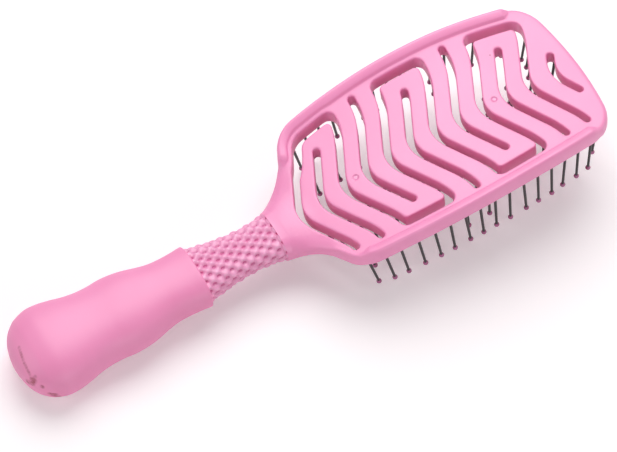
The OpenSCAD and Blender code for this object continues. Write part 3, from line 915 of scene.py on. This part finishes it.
def relief_depth(s, from_top, half_round):
    """How deep the band's checker is cut s along the handle and from_top round it."""
    half_depth = 0.52
    more_in_pits = 0.3
    less_flush = 0.48
    wind = 0.05
    # 1 in the middle of a pillow, -1 in the middle of a pit; the rows wind slowly round the band
    along = math.cos(math.pi * (s - 0.8) / PILLOW_LENGTH)
    checker = along * math.cos(math.pi * (from_top - 0.3 - wind * s) / PILLOW_WIDTH)
    # against the head only the pits are cut
    flush = 1 - ease((s - SEAM + 0.1) / 1.0)
    depth = half_depth * (1 - checker)
    depth += more_in_pits * ease((-checker - 0.3) / 0.7)
    depth -= less_flush * (1 - abs(checker)) * flush
    # a plain strip along the underside, where the two halves of the pattern meet
    return depth * ease((half_round - abs(from_top)) / 1.5 - 0.6)


def neck_band():
    """Soft band in a checker of pillows and pits."""
    mean_half_w = 9.6
    angles = even_angles(mean_half_w, BAND_HALF_T, BAND_SQUARE, BAND_ROUND)
    # it runs on a little under the head and under the grip's lip
    start = SEAM - 0.2
    end = BAND + 0.9

    def place(t, u):
        s = start + (end - start) * t
        share = min(s / BAND, 1)
        half_w = BAND_HALF_W * listed(BAND_PLACES, BAND_WIDTHS, share) * (1 + 0.03 * (1 - share))
        half_t = BAND_HALF_T * listed(BAND_PLACES, BAND_HEIGHTS, share)
        # distance from the top, out of a length round the section of about 3.3 times its half sizes;
        # the pillows keep their size where the band widens
        round_it = 3.3 * (half_w + half_t)
        from_top = (u - 0.25 if u < 0.75 else u - 1.25) * round_it
        y, z = superellipse(angles[round(u * BAND_ROUND)], half_w, half_t, BAND_SQUARE)
        kept = 1 - relief_depth(s, from_top, round_it / 2) / math.hypot(y, z)
        return along_handle(s, y * kept, z * kept)

    finish_piece("relief_band", sleeve(BAND_ROWS, BAND_ROUND, place), BAND_RUBBER,
                 ["neck_band"], sharp=80)


def grip():
    """Waisted grip with a rounded lip against the band and a round bulb."""
    mean_half_w = 15
    mean_half_t = 10
    angles = even_angles(mean_half_w, mean_half_t, GRIP_SQUARE, GRIP_ROUND)

    def place(t, u):
        # the first rows roll over the lip, the rest run to the end of the bulb
        if t < LIP_SHARE:
            turn = t / LIP_SHARE * math.pi / 2
            s = LIP_START + (LIP_END - LIP_START) * (1 - math.cos(turn))
            shrink = LIP_HEIGHT * (1 - math.sin(turn))
        else:
            s = LIP_END + (GRIP - LIP_END) * math.sin(math.pi / 2 * (t - LIP_SHARE) / (1 - LIP_SHARE))
            shrink = 0
        share = s / GRIP
        half_w = GRIP_HALF_W * listed(GRIP_PLACES, GRIP_WIDTHS, share) - shrink
        half_t = GRIP_HALF_T * listed(GRIP_PLACES, GRIP_HEIGHTS, share) - shrink
        y, z = superellipse(angles[round(u * GRIP_ROUND)], half_w, half_t, GRIP_SQUARE)
        return along_handle(BAND + s, y, z)

    finish_piece("soft_grip", sleeve(GRIP_ROWS, GRIP_ROUND, place), SOFT_COAT,
                 ["grip_sleeve"], sharp=60)


# The pins, in millimetres; heights are from the crown of the back at the pin's place
BALL_HEIGHT = -24.6
BALL_R = 1.05
# below the root, a pin's heights and radii: it is thinnest just above the ball
PIN_RINGS = [(-16.0, 0.56), (-23.7, 0.53)]
ROOT_R = 0.62
PIN_LENGTH = 19.0  # a lean by this share of the length moves the ball by the same distance
RIM_INSET = 2.7
RIM_FIRST = -43.4
RIM_LAST = 60.8
RIM_PINS = 17
RIB_STEP = 0.172 * HALF_WIDTH
RIBS = LAST_SLOT  # one between each slot and the next
TIP_PIN_INSET = 4.6
TIP_PIN_STEP = 7.0  # the same step as from the last of them to the last rim pin
TIP_ROW_R = 117.8  # pins of the ribs stay inside this circle about the tip's centre


def pin_place(x, y, h, tilt_x, tilt_y):
    """A point on a pin that stands upright to the back at x, h above the crown's height there."""
    a = x / BACK_RADIUS
    reach = h + PANEL
    px = tilt_x * reach
    py = tilt_y * reach
    r = BACK_RADIUS + h
    return lie_down((r * math.sin(a) - px * math.cos(a), y - py,
                     r * math.cos(a) - BACK_RADIUS + px * math.sin(a)))


def ring_offset(x, across, r):
    """From a pin's middle line to a point of a ring round it."""
    a = x / BACK_RADIUS - REST_TILT
    return Vector((across[0] * math.cos(a), across[1], -across[0] * math.sin(a))) * r / 1000


def draw_shaft(bm, x, y, tilt):
    """Extrudes one pin from inside the panel, round the edge of its root, to its ball."""
    root = dish(y) - PANEL
    start, *rings = [(root + 1.5, ROOT_R), (root - 0.15, ROOT_R), (root - 0.5, 0.60)] + PIN_RINGS
    made = bmesh.ops.create_circle(bm, radius=1.0, segments=10, cap_ends=True)["verts"]
    ring = {v: (v.co.x, v.co.y) for v in made}
    faces = [f for f in bm.faces if all(v in ring for v in f.verts)]
    for v, across in ring.items():
        v.co = pin_place(x, y, start[0], *tilt) + ring_offset(x, across, start[1])
    for h, r in rings:
        made = bmesh.ops.extrude_face_region(bm, geom=faces)["geom"]
        faces = [g for g in made if isinstance(g, bmesh.types.BMFace)]
        next_ring = {}
        for v in new_verts(made):
            next_ring[v] = ring[next(e.other_vert(v) for e in v.link_edges if e.other_vert(v) in ring)]
        for v, across in next_ring.items():
            v.co = pin_place(x, y, h, *tilt) + ring_offset(x, across, r)
        ring = next_ring


def pin_row(name, row, tilts, pins, balls):
    """One row of pins with their balls; pins and balls are the nodes that it stands for."""
    shafts = bmesh.new()
    tips = bmesh.new()
    for (x, y), tilt in zip(row, tilts):
        draw_shaft(shafts, x, y, tilt)
        centre = pin_place(x, y, BALL_HEIGHT, *tilt)
        bmesh.ops.create_uvsphere(tips, u_segments=12, v_segments=8, radius=BALL_R / 1000,
                                  matrix=Matrix.Translation(centre))
    finish_piece(name + "_shafts", shafts, NYLON, [pins], sharp=40)
    finish_piece(name + "_tips", tips, VINYL, [balls], sharp=60)


def rib_row(k):
    """Pins of the rib after slot k, up to its free end or the edge, and clear of the tip row."""
    made = []
    for i in range(-5, 5):
        y = RIB_STEP * (i + 0.5)
        side = 1 if y > 0 else -1
        x_end = (chevron(k, side * BEND_END).x + chevron(k + 1, side * BEND_END).x) / 2
        free = k < RIBS - 1 and (k % 4 < 2 if side > 0 else k % 4 > 1)
        inset = GAP_INSET + GAP + BAR - SLOT / 2 if free else CLOSED_INSET + SLOT / 2
        x = (chevron(k, y).x + chevron(k + 1, y).x) / 2
        if abs(y) < edge_y(x_end, inset) and math.hypot(x - TIP_C.x, y) < TIP_ROW_R:
            made.append((x, y))
    return made


def all_pins():
    """Every row of pins; the near row leans as it does on the real brush, the others a little at random."""
    rng = random.Random(7)

    spread = 0.012
    near_spread = 0.008

    def small_leans(row):
        return [(rng.gauss(0, spread), rng.gauss(0, spread)) for _ in row]

    rim = [RIM_FIRST + (RIM_LAST - RIM_FIRST) * i / (RIM_PINS - 1) for i in range(RIM_PINS)]
    # the first near pins stand a little early in their row, and each ball is off by its pin's own bend
    early = [-0.9, -1.0, -1.3, -0.5, -0.1] + [0] * 12
    lean = [0.3, 0.1, 0.0, 0.1, 0.3, 0, 0.8, 0.4, 0, 0.1, 1.3, 0.9, 0.9, 0.3, 0.9, 0.8, 0]
    near = [(x + e, -edge_y(x + e, RIM_INSET)) for x, e in zip(rim, early)]
    near_tilts = [(d / PIN_LENGTH, rng.gauss(0, near_spread)) for d in lean]
    pin_row("rim_near", near, near_tilts, "rim_pins_near", "rim_balls_near")
    far = [(x, edge_y(x, RIM_INSET)) for x in rim]
    pin_row("rim_far", far, small_leans(far), "rim_pins_far", "rim_balls_far")
    for k in range(RIBS):
        row = rib_row(k)
        number = k + 1
        pin_row(f"rib_{number}", row, small_leans(row), f"rib_pins_{number}", f"rib_balls_{number}")
    tip = []
    along_the_arch = TIP**3 / (6 * BACK_RADIUS**2)  # the arch is this much longer than its chord
    for i in range(-3, 4):
        y = TIP_PIN_STEP * i
        x = TIP_C.x + math.sqrt((TIP_R - TIP_PIN_INSET) ** 2 - y * y) + along_the_arch
        tip.append((x, y))
    pin_row("tip", tip, small_leans(tip), "tip_pins", "tip_balls")


head()
neck_band()
grip()
all_pins()


# Table, light and camera, in metres
def camera_or_gloss(tree, at):
    """1 for what the camera sees directly or in a gloss, 0 for light that falls on things."""
    path = node(tree, "ShaderNodeLightPath", at)
    return node(tree, "ShaderNodeMath", (at[0] + 200, at[1]),
                {0: path.outputs["Is Camera Ray"], 1: path.outputs["Is Glossy Ray"]},
                operation="MAXIMUM").outputs["Value"]


def table_top():
    """Matt white board: it takes the soft shadow of the brush and stays white to the camera."""
    bm = bmesh.new()
    bmesh.ops.create_grid(bm, x_segments=1, y_segments=1, size=3.0)
    mesh = bpy.data.meshes.new("table_top")
    bm.to_mesh(mesh)
    bm.free()
    board = bpy.data.objects.new("table_top", mesh)
    bpy.context.scene.collection.objects.link(board)
    material, tree = new_material("matt_white_board")
    paper = node(tree, "ShaderNodeBsdfDiffuse", (-400, 0), Color=linear("#F4F0F1"), Roughness=0.4)
    glow = node(tree, "ShaderNodeEmission", (-400, -200), {"Strength": camera_or_gloss(tree, (-600, 300))},
                Color=linear("#8A8788"))
    both = node(tree, "ShaderNodeAddShader", (-100, 0),
                {0: paper.outputs["BSDF"], 1: glow.outputs["Emission"]})
    node(tree, "ShaderNodeOutputMaterial", (100, 0), {"Surface": both.outputs["Shader"]})
    mesh.materials.append(material)


def soft_box(name, direction, distance, size, power):
    """A round lamp in a direction from the middle of the brush, turned to it."""
    lamp = bpy.data.lights.new(name, "AREA")
    lamp.shape = "DISK"
    lamp.size = size
    lamp.energy = power
    holder = bpy.data.objects.new(name, lamp)
    bpy.context.scene.collection.objects.link(holder)
    outwards = Vector(direction).normalized()
    holder.location = Vector((0.0, 0.0, 0.02)) + outwards * distance
    holder.rotation_mode = "QUATERNION"
    holder.rotation_quaternion = outwards.to_track_quat("Z", "Y")


def lamps():
    """A wide soft light overhead, a little behind the brush, and low reflectors on three sides."""
    soft_box("overhead_light", (0.26, 0.42, 0.84), distance=1.1, size=1.2, power=11.7)
    soft_box("front_reflector", (-0.15, -0.90, 0.30), distance=1.2, size=0.7, power=3.0)
    soft_box("left_reflector", (-0.90, 0.20, 0.38), distance=1.2, size=0.7, power=2.8)
    soft_box("right_reflector", (0.85, -0.45, 0.40), distance=1.2, size=0.7, power=1.6)


def studio_world():
    """White to the camera and in reflections, dimmer as a light."""
    world = bpy.data.worlds.new("studio")
    world.use_nodes = True
    tree = world.node_tree
    tree.nodes.clear()
    level = node(tree, "ShaderNodeMapRange", (-200, 0), {"Value": camera_or_gloss(tree, (-600, 0))},
                 i3=0.20, i4=1.0)
    sky = node(tree, "ShaderNodeBackground", (0, 0), {"Strength": level.outputs["Result"]},
               Color=(1, 1, 1, 1))
    node(tree, "ShaderNodeOutputWorld", (200, 0), {"Surface": sky.outputs["Background"]})
    bpy.context.scene.world = world


def camera():
    """The camera of the photograph; its focal length is 3000 pixels of a picture 617 pixels wide."""
    azimuth = math.radians(-29.94)
    elevation = math.radians(57.0)
    distance = 1.0998
    focal_pixels = 3000
    picture_width = 617
    sensor = 36
    back = Vector((math.sin(azimuth) * math.cos(elevation), -math.cos(azimuth) * math.cos(elevation),
                   math.sin(elevation)))
    right = Vector((math.cos(azimuth), math.sin(azimuth), 0))
    up = back.cross(right)
    from_crown = Vector((-58.1, -12.85, 0))
    target = (CROWN + from_crown) / 1000
    lens = bpy.data.cameras.new("camera")
    lens.sensor_width = sensor
    lens.lens = focal_pixels / picture_width * sensor
    holder = bpy.data.objects.new("camera", lens)
    bpy.context.scene.collection.objects.link(holder)
    turn = Matrix((right, up, back)).transposed().to_4x4()
    turn.translation = target + back * distance
    holder.matrix_world = turn
    bpy.context.scene.camera = holder


table_top()
lamps()
studio_world()
camera()
bpy.context.scene.view_settings.view_transform = "Standard"
